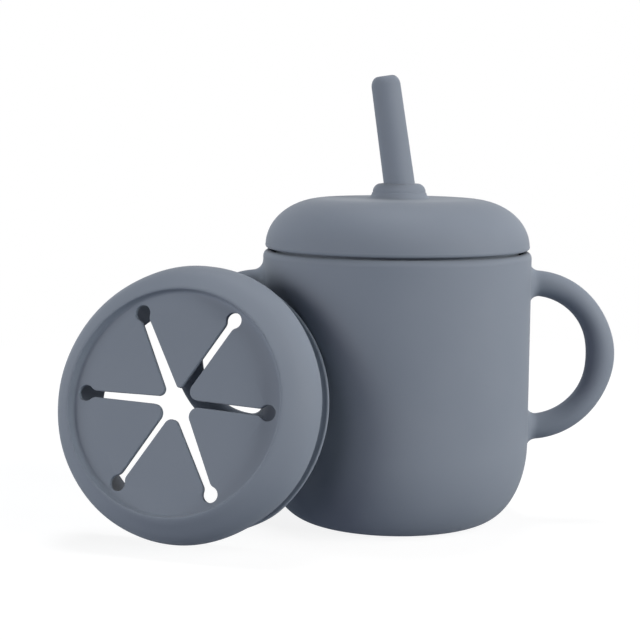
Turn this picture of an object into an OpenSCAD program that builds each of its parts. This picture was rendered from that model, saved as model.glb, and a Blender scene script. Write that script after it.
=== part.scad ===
// Two-in-one toddler cup in soft silicone: a cup with two loop handles, a domed
// lid with a straw, and a spare snack lid whose six flaps let a hand in but
// keep the snacks from spilling. The snack lid is off, leaning on the cup.
// Origin: centre of the cup's base. +Z up, handles along X, front at -Y.

/* [Cup] */
// Outer diameter of the cup's straight wall
cup_d = 85; // [70:0.5:100]
// Height of the cup's rim above its base
cup_h = 85.5; // [78:0.5:110]
// Thickness of the cup's wall
cup_wall = 2.4; // [1.8:0.1:3.2]
// Thickness of the cup's floor
cup_floor = 2.6; // [1.8:0.1:4]
// How far the rounded bottom corner runs in from the wall
corner_run = 15; // [6:0.5:20]
// How far the rounded bottom corner rises up the wall
corner_rise = 25; // [12:0.5:26]
// Radius of the rounding on both edges of the rim
rim_round = 1.1; // [0.4:0.1:1.2]

/* [Handles] */
// Radius of the handle loop at the middle of its tube
loop_r = 23; // [18:0.1:23.6]
// Diameter of the handle's round tube
handle_d = 8.6; // [6:0.1:10]
// Height of the loop's centre above the base
handle_z = 52.2; // [48:0.1:56]
// Distance from the cup's wall out to the loop's centre
handle_out = 1.1; // [0:0.1:6]

/* [Lids] */
// How much smaller than the cup each lid is, measured on the radius
lid_inset = 0.7; // [0.2:0.1:1.5]
// Height of the shadow groove between a lid's edge and the cup's rim
groove_h = 1; // [0.4:0.1:1.5]
// How far the dome's curve runs in from the lid's side
dome_run = 18.8; // [15:0.2:22]
// Height of the dome's curve
dome_rise = 15.4; // [13:0.1:20]
// Height of the upright band under the dome's curve
band_h = 0.3; // [0.1:0.1:3]
// Thickness of the dome's shell
shell = 2.2; // [1.6:0.1:3]
// Depth of the plug that goes into the cup's mouth
plug_depth = 9.3; // [7:0.1:14]
// Thickness of the plug's wall
plug_wall = 2.2; // [1.6:0.1:3]
// Gap between the plug's wall and the cup's mouth, which the sealing lip closes
plug_gap = 1.5; // [1:0.1:2]
// Thickness of the sealing lip at its root
lip_root = 2; // [1.4:0.1:3]
// Thickness of the sealing lip at its edge
lip_edge = 0.6; // [0.4:0.1:1]
// Distance from the plug's end to the middle of the lip
lip_up = 1.6; // [1:0.1:3]
// How far a free lip stands out past the cup's mouth before it is pressed in
lip_squeeze = 1; // [0.3:0.1:1.2]

/* [Straw] */
// Outer diameter of the straw where the collar holds it
straw_d = 9.8; // [7:0.1:11]
// Outer diameter of the straw at its tip
tip_d = 9.2; // [6.5:0.1:9.6]
// Inner diameter of the straw
straw_bore_d = 6.6; // [3.5:0.1:7]
// Length of straw that stands above the collar
straw_out = 34; // [20:0.5:60]
// Lean of the straw towards the left handle, in degrees
straw_lean = 8.6; // [0:0.1:12]
// Gap between the straw's lower end and the cup's floor
straw_foot_gap = 5; // [0.5:0.5:10]
// Height of the collar that holds the straw
collar_h = 4.7; // [3:0.1:8]
// Outer diameter of the collar at its top
collar_d = 16.2; // [14.5:0.1:20]
// How far the collar's foot flares out on each side
collar_flare = 1.8; // [0.4:0.1:2.4]
// How far the collar sits off the lid's centre, towards the right handle
collar_shift = 0.4; // [0:0.1:2]
// Depth of the sleeve that holds the straw under the dome
sleeve_h = 3; // [1:0.5:8]

/* [Snack lid] */
// Radius of the raised bezel's inner edge
bezel_r = 33.4; // [33:0.1:36]
// Depth of the flat flap disc below the bezel's inner edge
recess = 2.8; // [1:0.1:4]
// Thickness of the flap disc
disc_t = 1.7; // [1.4:0.1:2.4]
// Thickness of the plug's wall on the snack lid, whose ring is solid
ring_wall = 5.6; // [2:0.1:6]
// Number of flaps
flap_count = 6; // [6:1:6]
// Radius of the circle that the slits' end holes lie on
hole_circle_r = 29.4; // [28:0.1:30]
// Diameter of the hole at each slit's outer end
hole_d = 4.4; // [3:0.1:5]
// Width of each slit at its end hole
slit_out = 2; // [1:0.1:2.4]
// Width of each slit at the middle of the disc
slit_in = 3.2; // [2.2:0.1:4]
// Radius of the rounded tip of each flap
flap_tip_r = 2; // [1:0.1:3]
// How far inside the line between two end holes a flap bends
hinge_in = 1.5; // [0.5:0.1:3]
// Turn of the flap pattern in the lid, in degrees
star_turn = -2.6; // [-30:0.1:30]

/* [Leaning pose] */
// Turn of the leaning lid's face from the front, in degrees
lid_turn = 21.9; // [10:0.1:35]
// Lean of the lid back from upright, in degrees
lid_lean = 15.2; // [8:0.1:25]
// Bearing of the point where the lid touches the cup, in degrees
touch_bearing = 226.4; // [220:0.1:236]

/* [Fits] */
// Gap between each lid's flange and the cup's rim
seat_gap = 0.05; // [0.01:0.01:0.2]
// Radial gap of a pressed-in sealing lip in the cup's mouth
lip_clear = 0.05; // [0.01:0.01:0.1]
// Radial gap of the straw in its collar
straw_clear = 0.05; // [0.01:0.01:0.1]
// Gap round a flap's bending edge
hinge_clear = 0.3; // [0.2:0.05:0.5]
// Gap between the leaning lid and what it leans and stands on
lean_clear = 0.15; // [0.05:0.05:0.5]

/* [Hidden] */
silicone = [0.50, 0.54, 0.60];
round_fn = 96;
curve_steps = 16;
edge_steps = 5;

// Cup
cup_r = cup_d / 2;
mouth_r = cup_r - cup_wall;
corner_r = cup_r - corner_run;

// Lids, whose own origin is the centre of the dome's lower edge
edge_tuck = 0.4;
lid_r = cup_r - lid_inset;
lid_z = cup_h + groove_h;
dome_r = lid_r - dome_run;
edge_r = lid_r - edge_tuck;
plug_r = mouth_r - plug_gap;
plug_in_r = plug_r - plug_wall;
plug_bottom = -groove_h - plug_depth;
lip_mid = plug_bottom + lip_up;
lip_back = lip_mid - lip_edge / 2;
seat_z = seat_gap - groove_h;
seat_r = cup_r - rim_round - edge_tuck;

// Straw, whose axis crosses the collar's axis at the top of the collar
dome_top = band_h + dome_rise;
straw_r = straw_d / 2;
bore_r = straw_r + straw_clear;
collar_r = collar_d / 2;
collar_round = 1.3;
collar_top = lid_z + dome_top + collar_h;
straw_foot_z = cup_floor + straw_foot_gap + straw_r * sin(straw_lean);
straw_in = (collar_top - straw_foot_z) / cos(straw_lean);

// Snack lid
bezel_slope = 0.7;
bezel_z = band_h + dome_rise * sqrt(1 - pow((bezel_r - dome_r) / dome_run, 2));
disc_top = bezel_z - recess;
disc_mid = disc_top - disc_t / 2;
disc_r = bezel_r - bezel_slope;
flap_step = 360 / flap_count;
half_step = flap_step / 2;
hinge_r = hole_circle_r * cos(half_step) - hinge_in;
free_lip_r = mouth_r + lip_squeeze;
opening_r = plug_r - ring_wall;

// Leaning pose. The lid's axes are side, rise and face. The circles that can
// meet the cup or the surface are given as [radius, height in the lid]
side = [cos(lid_turn), -sin(lid_turn), 0];
rise = [sin(lid_turn) * sin(lid_lean), cos(lid_turn) * sin(lid_lean), cos(lid_lean)];
face = [-sin(lid_turn) * cos(lid_lean), -cos(lid_turn) * cos(lid_lean), sin(lid_lean)];
touch_way = [cos(touch_bearing), sin(touch_bearing), 0];
back_circles = [[free_lip_r, lip_back], [plug_r, plug_bottom], [lid_r, 0]];
flat_part = norm([side * touch_way, rise * touch_way]);
reaches = [for (c = back_circles) c[0] * flat_part - c[1] * (face * touch_way)];
depths = [for (c = back_circles) c[0] * cos(lid_lean) - c[1] * sin(lid_lean)];
touching = back_circles[search(max(reaches), reaches)[0]];
touch_arm = -touching[0] / flat_part
    * (side * (side * touch_way) + rise * (rise * touch_way)) + touching[1] * face;
lean_xy = (cup_r + lean_clear) * touch_way - touch_arm;
lean_at = [lean_xy[0], lean_xy[1], max(depths) + lean_clear];

// Points along part of an ellipse about [cx, cy]
function arc_points(cx, cy, rx, ry, from, to, steps) = [
  for (i = [0:steps]) let (a = from + (to - from) * i / steps)
    [cx + rx * cos(a), cy + ry * sin(a)]
];

// Half width of a slit at distance r from the disc's centre
function slit_half(r) = (slit_in + (slit_out - slit_in) * r / hole_circle_r) / 2;

// Point on a flap's upper edge at distance r from the disc's centre
function flap_edge(r) = [
  r * cos(half_step) + slit_half(r) * sin(half_step),
  r * sin(half_step) - slit_half(r) * cos(half_step)
];

module cup() {
  color(silicone)
    rotate_extrude($fn = round_fn)
      polygon(concat(
        [[0, 0]],
        arc_points(corner_r, corner_rise, corner_run, corner_rise, -90, 0, curve_steps),
        arc_points(cup_r - rim_round, cup_h - rim_round, rim_round, rim_round,
          0, 90, edge_steps),
        arc_points(mouth_r + rim_round, cup_h - rim_round, rim_round, rim_round,
          90, 180, edge_steps),
        arc_points(corner_r, corner_rise, corner_run - cup_wall,
          corner_rise - cup_floor, 0, -90, curve_steps),
        [[0, cup_floor]]
      ));
}

// Round loop cut off where it meets the cup's wall. Side is 1 or -1
module handle(side) {
  color(silicone)
    difference() {
      translate([side * (cup_r + handle_out), 0, handle_z])
        rotate([90, 0, 0])
          rotate_extrude($fn = round_fn)
            translate([loop_r, 0])
              circle(d = handle_d, $fn = 48);
      cylinder(h = cup_h, r = cup_r, $fn = round_fn);
    }
}

// Outer line of a dome from its lower edge up to radius r_end
function dome_line(r_end) = concat(
  [[edge_r, 0]],
  arc_points(dome_r, band_h, dome_run, dome_rise, 0,
    acos((r_end - dome_r) / dome_run), curve_steps)
);

// Under side of a lid: plug, sealing lip and flange. lip_r is the lip's radius,
// and in_r the plug's inner radius
function under_line(lip_r, in_r) = [
  [in_r, plug_bottom],
  [plug_r, plug_bottom],
  [plug_r, lip_mid - lip_root / 2],
  [lip_r, lip_back],
  [lip_r, lip_back + lip_edge],
  [plug_r, lip_mid + lip_root / 2],
  [plug_r, seat_z],
  [seat_r, seat_z]
];

// Round collar on top of the dome and the sleeve below it, both solid
module collar() {
  foot_r = collar_r + collar_flare;
  rotate_extrude($fn = round_fn)
    polygon(concat(
      [[0, dome_top - shell - sleeve_h], [collar_r, dome_top - shell - sleeve_h],
        [collar_r, dome_top - shell / 2], [foot_r, dome_top - shell / 2]],
      arc_points(foot_r, dome_top + collar_flare, collar_flare, collar_flare,
        -90, -180, edge_steps),
      arc_points(collar_r - collar_round, dome_top + collar_h - collar_round,
        collar_round, collar_round, 0, 90, edge_steps),
      [[0, dome_top + collar_h]]
    ));
}

// Dome with its plug, closed at the top
module dome() {
  inner_run = dome_run - shell;
  inner_rise = dome_rise - shell;
  plug_meet = acos((plug_in_r - dome_r) / inner_run);
  rotate_extrude($fn = round_fn)
    polygon(concat(
      under_line(mouth_r - lip_clear, plug_in_r),
      dome_line(dome_r),
      [[0, dome_top], [0, dome_top - shell]],
      arc_points(dome_r, band_h, inner_run, inner_rise, 90, plug_meet, curve_steps)
    ));
}

module straw_lid() {
  color(silicone)
    difference() {
      translate([0, 0, lid_z]) {
        dome();
        translate([collar_shift, 0, 0]) collar();
      }
      straw_axis()
        translate([0, 0, -collar_h * 5])
          cylinder(h = collar_h * 7, r = bore_r, $fn = round_fn);
    }
}

// Puts its children on the straw's axis, with their origin at the collar's top
module straw_axis() {
  translate([collar_shift, 0, collar_top])
    rotate([0, -straw_lean, 0])
      children();
}

module straw() {
  straw_bore_r = straw_bore_d / 2;
  tip_round = (tip_d / 2 - straw_bore_r) * 0.8;
  color(silicone)
    straw_axis()
      rotate_extrude($fn = round_fn)
        polygon(concat(
          [[straw_bore_r, -straw_in], [straw_r, -straw_in], [straw_r, 0]],
          arc_points(tip_d / 2 - tip_round, straw_out - tip_round, tip_round, tip_round,
            0, 90, edge_steps),
          [[straw_bore_r, straw_out]]
        ));
}

// Puts its children in the leaning lid's place
module leaning() {
  translate(lean_at)
    rotate([90 - lid_lean, 0, -lid_turn])
      rotate([0, 0, star_turn])
        children();
}

module snack_lid() {
  color(silicone)
    leaning()
      difference() {
        rotate_extrude($fn = round_fn)
          polygon(concat(
            under_line(free_lip_r, opening_r),
            dome_line(bezel_r),
            [[disc_r, disc_top], [0, disc_top], [0, disc_top - disc_t],
              [opening_r, disc_top - disc_t]]
          ));
        translate([0, 0, disc_top - disc_t * 2])
          cylinder(h = disc_t * 4, r = hinge_r / cos(half_step), $fn = flap_count);
        for (i = [0:flap_count - 1]) rotate([0, 0, i * flap_step]) {
          translate([hole_circle_r, 0, disc_top - disc_t * 2])
            cylinder(h = disc_t * 4, d = hole_d, $fn = 48);
          rotate([0, 0, half_step])
            translate([hinge_r, 0, disc_mid])
              rotate([90, 0, 0])
                cylinder(h = hinge_r * 2 * tan(half_step), r = disc_t / 2 + hinge_clear,
                  center = true, $fn = 48);
        }
      }
}

// Outline of one flap seen from the front, pointing along +X from its tip
module flap_outline() {
  edge_turn = atan2(flap_edge(hinge_r)[1] - flap_edge(0)[1],
    flap_edge(hinge_r)[0] - flap_edge(0)[0]);
  cross_x = flap_edge(0)[0] - flap_edge(0)[1] / tan(edge_turn);
  tip_x = cross_x + flap_tip_r / sin(edge_turn);
  base_x = hinge_r + disc_t;
  base_y = (base_x - cross_x) * tan(edge_turn);
  polygon(concat(
    [[base_x, base_y]],
    arc_points(tip_x, 0, flap_tip_r, flap_tip_r, 90 + edge_turn, 270 - edge_turn,
      curve_steps),
    [[base_x, -base_y]]
  ));
}

// Flap number n, with the round edge that it bends about at hinge_r
module flap(n) {
  color(silicone)
    leaning()
      rotate([0, 0, (n - 0.5) * flap_step])
        intersection() {
          translate([0, 0, disc_top - disc_t])
            linear_extrude(height = disc_t)
              flap_outline();
          rotate([90, 0, 0])
            linear_extrude(height = hinge_r * 2, center = true)
              polygon(concat(
                [[0, disc_top - disc_t]],
                arc_points(hinge_r, disc_mid, disc_t / 2, disc_t / 2, -90, 90, edge_steps * 2),
                [[0, disc_top]]
              ));
        }
}

cup();
handle(-1);  // handle_left
handle(1);  // handle_right
straw_lid();
straw();
snack_lid();
flap(1);  // flap_1
flap(2);  // flap_2
flap(3);  // flap_3
flap(4);  // flap_4
flap(5);  // flap_5
flap(6);  // flap_6
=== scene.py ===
"""Looks of a two-in-one toddler cup moulded in soft silicone.

The cup and its two loop handles are one moulding. A domed lid with a collar
and a straw is fitted on it, and a second lid with six bending flaps leans on
its left. Sizes are in millimetres and are turned to metres when a mesh is made.
"""

import logging
import math
from dataclasses import dataclass, field
from enum import Enum
from typing import Any, Sequence

import bmesh
import bpy
import numpy as np
from mathutils import Matrix, Vector

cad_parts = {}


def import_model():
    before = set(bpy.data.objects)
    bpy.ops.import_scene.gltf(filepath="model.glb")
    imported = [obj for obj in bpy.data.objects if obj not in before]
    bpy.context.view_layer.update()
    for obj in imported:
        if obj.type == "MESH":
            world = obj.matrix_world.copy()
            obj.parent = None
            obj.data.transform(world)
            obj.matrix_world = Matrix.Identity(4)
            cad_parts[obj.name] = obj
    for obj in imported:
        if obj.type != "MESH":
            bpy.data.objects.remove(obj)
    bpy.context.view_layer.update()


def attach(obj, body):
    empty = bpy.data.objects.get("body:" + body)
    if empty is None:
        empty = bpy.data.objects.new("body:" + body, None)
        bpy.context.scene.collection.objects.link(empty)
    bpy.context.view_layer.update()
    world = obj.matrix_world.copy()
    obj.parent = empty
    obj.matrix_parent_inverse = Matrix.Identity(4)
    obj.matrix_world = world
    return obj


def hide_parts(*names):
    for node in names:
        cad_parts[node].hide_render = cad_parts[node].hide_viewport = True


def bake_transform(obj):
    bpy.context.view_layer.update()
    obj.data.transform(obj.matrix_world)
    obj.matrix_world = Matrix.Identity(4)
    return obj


LOG = logging.getLogger("snack_cup")
MM = 0.001
WELD = 1e-6  # metres, below which two points of a mesh are one
SHARP_ANGLE = math.radians(60)  # a steeper edge is shaded as an edge

Profile = list[tuple[float, float]]
Point = tuple[float, float, float]


class Slot(Enum):
    """The record's material slots for the cup, the lids and the straw."""

    CUP = "cup_silicone"
    LID = "lid_silicone"
    STRAW = "straw_silicone"


# ---------------------------------------------------------------- helpers


def linear(code: str) -> tuple[float, float, float, float]:
    """Turn an sRGB hex colour into linear light.

    Args:
        code: Colour such as "#80868f".

    Returns:
        Red, green, blue and an alpha of 1.
    """
    parts = [int(code[i : i + 2], 16) / 255 for i in (1, 3, 5)]
    curve = [c / 12.92 if c <= 0.04045 else ((c + 0.055) / 1.055) ** 2.4 for c in parts]
    return (*curve, 1.0)


def add_node(
    tree: bpy.types.NodeTree,
    kind: str,
    settings: dict[str, Any] | None = None,
    inputs: dict[str | int, Any] | None = None,
) -> bpy.types.Node:
    """Add a node with its settings, and set or link its inputs.

    Args:
        tree: Tree that the node goes into.
        kind: Blender's name of the node's type.
        settings: Properties of the node.
        inputs: Input socket to value, or to the output socket linked to it.

    Returns:
        The new node.
    """
    node = tree.nodes.new(kind)
    for name, value in (settings or {}).items():
        setattr(node, name, value)
    for name, value in (inputs or {}).items():
        if isinstance(value, bpy.types.NodeSocket):
            tree.links.new(value, node.inputs[name])
        else:
            node.inputs[name].default_value = value
    return node


def empty_tree(owner: bpy.types.Material | bpy.types.World) -> bpy.types.NodeTree:
    """Give a material or world an empty node tree.

    Args:
        owner: Material or world that gets the tree.

    Returns:
        The tree.
    """
    owner.use_nodes = True
    owner.node_tree.nodes.clear()
    return owner.node_tree


def smooth_share(share: float) -> float:
    """Ease a share in and out of its range of 0 to 1."""
    return share * (share * (3 - 2 * share))


def unit(vector: np.ndarray) -> np.ndarray:
    """Give a vector the length of 1."""
    return vector / np.linalg.norm(vector)


def short_way(first: np.ndarray, last: np.ndarray, steps: int) -> np.ndarray:
    """Turn from one direction in the plane to another by the short way.

    Args:
        first: First direction, of any length.
        last: Last direction, of any length.
        steps: Number of equal steps.

    Returns:
        Unit vectors, both ends among them.
    """
    a, b = (math.atan2(v[1], v[0]) for v in (first, last))
    span = (b - a + math.pi) % (2 * math.pi) - math.pi
    angles = a + np.linspace(0, span, steps + 1)
    return np.column_stack([np.cos(angles), np.sin(angles)])


def arc(
    cx: float, cy: float, rx: float, ry: float, start: float, end: float, steps: int
) -> Profile:
    """Points along part of an ellipse.

    Args:
        cx: Centre, first coordinate.
        cy: Centre, second coordinate.
        rx: Radius along the first coordinate.
        ry: Radius along the second coordinate.
        start: First angle in degrees.
        end: Last angle in degrees.
        steps: Number of equal steps.

    Returns:
        The points, both ends among them.
    """
    angles = np.radians(np.linspace(start, end, steps + 1))
    return [(cx + rx * math.cos(a), cy + ry * math.sin(a)) for a in angles]


def make_piece(
    name: str,
    points: Sequence[Sequence[float]] | np.ndarray,
    faces: Sequence[Sequence[int]],
    recalculate: bool = True,
) -> bpy.types.Object:
    """Make a welded, smooth-shaded mesh object at the origin.

    Args:
        name: Name of the object.
        points: Vertices in millimetres.
        faces: Vertex numbers of each face.
        recalculate: Whether to turn all faces outwards again.

    Returns:
        The object, linked to the scene.
    """
    mesh = bpy.data.meshes.new(name)
    mesh.from_pydata((np.asarray(points, float) * MM).tolist(), [], faces)
    shape = bmesh.new()
    shape.from_mesh(mesh)
    bmesh.ops.remove_doubles(shape, verts=shape.verts, dist=WELD)
    bmesh.ops.dissolve_degenerate(shape, edges=shape.edges, dist=WELD)
    if recalculate:
        bmesh.ops.recalc_face_normals(shape, faces=shape.faces)
    for face in shape.faces:
        face.smooth = True
    shape.to_mesh(mesh)
    shape.free()
    piece = bpy.data.objects.new(name, mesh)
    bpy.context.scene.collection.objects.link(piece)
    return piece


def bridge(first: Sequence[int], second: Sequence[int], closed: bool = True) -> list[list[int]]:
    """Quads between two rows of as many vertices.

    Args:
        first: Vertex numbers of one row.
        second: Vertex numbers of the other row.
        closed: Whether the rows are rings.

    Returns:
        The faces.
    """
    count = len(first)
    last = count if closed else count - 1
    return [
        [first[i], first[(i + 1) % count], second[(i + 1) % count], second[i]]
        for i in range(last)
    ]


def report(piece: bpy.types.Object) -> None:
    """Log the name, the number of faces and the size of a finished piece.

    Args:
        piece: Finished piece.
    """
    corners = np.array([v.co for v in piece.data.vertices]) / MM
    size = corners.max(0) - corners.min(0)
    LOG.info("%s: %d faces, %s mm", piece.name, len(piece.data.polygons), np.round(size, 1))


# ---------------------------------------------------------------- finishes


@dataclass(frozen=True)
class MouldedSilicone:
    """Pigmented silicone rubber, compression moulded in a blasted steel mould.

    The blasted mould leaves an even matte skin: broad soft highlights, no
    sparkle, and a faint bloom of dust at grazing angles.
    """

    name: str
    colour: str = "#838b97"
    bloom_colour: str = "#8a919c"
    roughness: float = 0.56
    roughness_swing: float = 0.05
    ior: float = 1.41
    shine: float = 0.15  # most of it is lost in the blasted skin's pits
    sheen: float = 0.06
    sheen_roughness: float = 0.4
    grain_mm: float = 0.9  # a blasted mould has 0.1 mm grain, drawn coarser to show
    grain_depth_mm: float = 0.004
    grain_detail: float = 2.0
    flow_mm: float = 14.0  # soft waves left by shrinkage in the mould
    flow_depth_mm: float = 0.05
    flow_detail: float = 1.0
    bloom_mm: float = 22.0
    bloom_detail: float = 3.0

    def material(self) -> bpy.types.Material:
        """Build the material on Object coordinates.

        Returns:
            The node-based material.
        """
        material = bpy.data.materials.new(self.name)
        tree = empty_tree(material)
        place = add_node(tree, "ShaderNodeTexCoord").outputs["Object"]
        grain, flow, bloom = (
            add_node(
                tree,
                "ShaderNodeTexNoise",
                inputs={"Vector": place, "Scale": 1 / (size * MM), "Detail": detail},
            ).outputs["Fac"]
            for size, detail in (
                (self.grain_mm, self.grain_detail),
                (self.flow_mm, self.flow_detail),
                (self.bloom_mm, self.bloom_detail),
            )
        )
        colour = add_node(
            tree,
            "ShaderNodeMix",
            {"data_type": "RGBA"},
            {"Factor": bloom, "A": linear(self.colour), "B": linear(self.bloom_colour)},
        )
        rough = add_node(
            tree,
            "ShaderNodeMapRange",
            inputs={
                "Value": bloom,
                "To Min": self.roughness - self.roughness_swing,
                "To Max": self.roughness + self.roughness_swing,
            },
        )
        waves = add_node(
            tree,
            "ShaderNodeBump",
            inputs={"Height": flow, "Distance": self.flow_depth_mm * MM},
        )
        skin = add_node(
            tree,
            "ShaderNodeBump",
            inputs={
                "Height": grain,
                "Distance": self.grain_depth_mm * MM,
                "Normal": waves.outputs["Normal"],
            },
        )
        shader = add_node(
            tree,
            "ShaderNodeBsdfPrincipled",
            inputs={
                "Base Color": colour.outputs["Result"],
                "Roughness": rough.outputs["Result"],
                "IOR": self.ior,
                "Specular IOR Level": self.shine,
                "Sheen Weight": self.sheen,
                "Sheen Roughness": self.sheen_roughness,
                "Normal": skin.outputs["Normal"],
            },
        )
        add_node(
            tree, "ShaderNodeOutputMaterial", inputs={"Surface": shader.outputs["BSDF"]}
        )
        return material


# ---------------------------------------------------------------- lathe


class Lathe:
    """Geometry Nodes tree that turns a profile into a closed body of revolution.

    The profile is a mesh of edges in X and Z. Its attribute "sideways" gives
    how far each ring is moved along X, which leans a bore or shifts a collar.
    """

    SIDEWAYS = "sideways"
    PATH_R = 1.0

    def __init__(self) -> None:
        """Build the tree with its named inputs."""
        tree = bpy.data.node_groups.new("Lathe", "GeometryNodeTree")
        for name, way, kind in (
            ("Geometry", "INPUT", "NodeSocketGeometry"),
            ("Segments", "INPUT", "NodeSocketInt"),
            ("Path radius", "INPUT", "NodeSocketFloat"),
            ("Weld distance", "INPUT", "NodeSocketFloat"),
            ("Material", "INPUT", "NodeSocketMaterial"),
            ("Geometry", "OUTPUT", "NodeSocketGeometry"),
        ):
            tree.interface.new_socket(name, in_out=way, socket_type=kind)
        given = add_node(tree, "NodeGroupInput").outputs
        profile = add_node(
            tree, "GeometryNodeMeshToCurve", inputs={"Mesh": given["Geometry"]}
        )
        circle = add_node(
            tree,
            "GeometryNodeCurvePrimitiveCircle",
            inputs={"Resolution": given["Segments"], "Radius": given["Path radius"]},
        )
        swept = add_node(
            tree,
            "GeometryNodeCurveToMesh",
            inputs={
                "Curve": circle.outputs["Curve"],
                "Profile Curve": profile.outputs["Curve"],
            },
        )
        moved = add_node(
            tree,
            "GeometryNodeInputNamedAttribute",
            {"data_type": "FLOAT"},
            {"Name": self.SIDEWAYS},
        )
        offset = add_node(
            tree, "ShaderNodeCombineXYZ", inputs={"X": moved.outputs["Attribute"]}
        )
        placed = add_node(
            tree,
            "GeometryNodeSetPosition",
            inputs={"Geometry": swept.outputs["Mesh"], "Offset": offset.outputs["Vector"]},
        )
        welded = add_node(
            tree,
            "GeometryNodeMergeByDistance",
            inputs={
                "Geometry": placed.outputs["Geometry"],
                "Distance": given["Weld distance"],
            },
        )
        smooth = add_node(
            tree, "GeometryNodeSetShadeSmooth", inputs={"Geometry": welded.outputs["Geometry"]}
        )
        real = add_node(
            tree,
            "GeometryNodeRealizeInstances",
            inputs={"Geometry": smooth.outputs["Geometry"]},
        )
        finished = add_node(
            tree,
            "GeometryNodeSetMaterial",
            inputs={"Geometry": real.outputs["Geometry"], "Material": given["Material"]},
        )
        add_node(
            tree, "NodeGroupOutput", inputs={"Geometry": finished.outputs["Geometry"]}
        )
        self.tree = tree

    def turn(
        self,
        name: str,
        profile: Profile,
        material: bpy.types.Material,
        segments: int,
        sideways: Sequence[float] | None = None,
        closed: bool = False,
    ) -> bpy.types.Object:
        """Turn a profile round the Z axis and keep the result as a plain mesh.

        Args:
            name: Name of the piece.
            profile: Radius and height of each point, in millimetres.
            material: Finish of the piece.
            segments: Number of faces round the axis.
            sideways: Shift of each point's ring along X, in millimetres.
            closed: Whether the profile is a closed line.

        Returns:
            The object, at the origin, with no modifier left.
        """
        count = len(profile)
        mesh = bpy.data.meshes.new(name)
        points = [((r - self.PATH_R) * MM, -z * MM, 0.0) for r, z in profile]
        edges = [(i, (i + 1) % count) for i in range(count if closed else count - 1)]
        mesh.from_pydata(points, edges, [])
        shift = mesh.attributes.new(self.SIDEWAYS, "FLOAT", "POINT")
        shift.data.foreach_set("value", np.array(sideways or [0.0] * count) * MM)
        piece = bpy.data.objects.new(name, mesh)
        bpy.context.scene.collection.objects.link(piece)
        modifier = piece.modifiers.new("Lathe", "NODES")
        modifier.node_group = self.tree
        values = {
            "Segments": segments,
            "Path radius": self.PATH_R * MM,
            "Weld distance": WELD,
            "Material": material,
        }
        for item in self.tree.interface.items_tree:
            if item.in_out == "INPUT" and item.name in values:
                modifier[item.identifier] = values[item.name]
        bpy.context.view_layer.update()
        graph = bpy.context.evaluated_depsgraph_get()
        turned = bpy.data.meshes.new_from_object(piece.evaluated_get(graph))
        piece.modifiers.clear()
        piece.data = turned
        turned.name = name
        bpy.data.meshes.remove(mesh)
        shape = bmesh.new()
        shape.from_mesh(turned)
        bmesh.ops.recalc_face_normals(shape, faces=shape.faces)
        shape.to_mesh(turned)
        shape.free()
        return piece


# ---------------------------------------------------------------- cup


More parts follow.
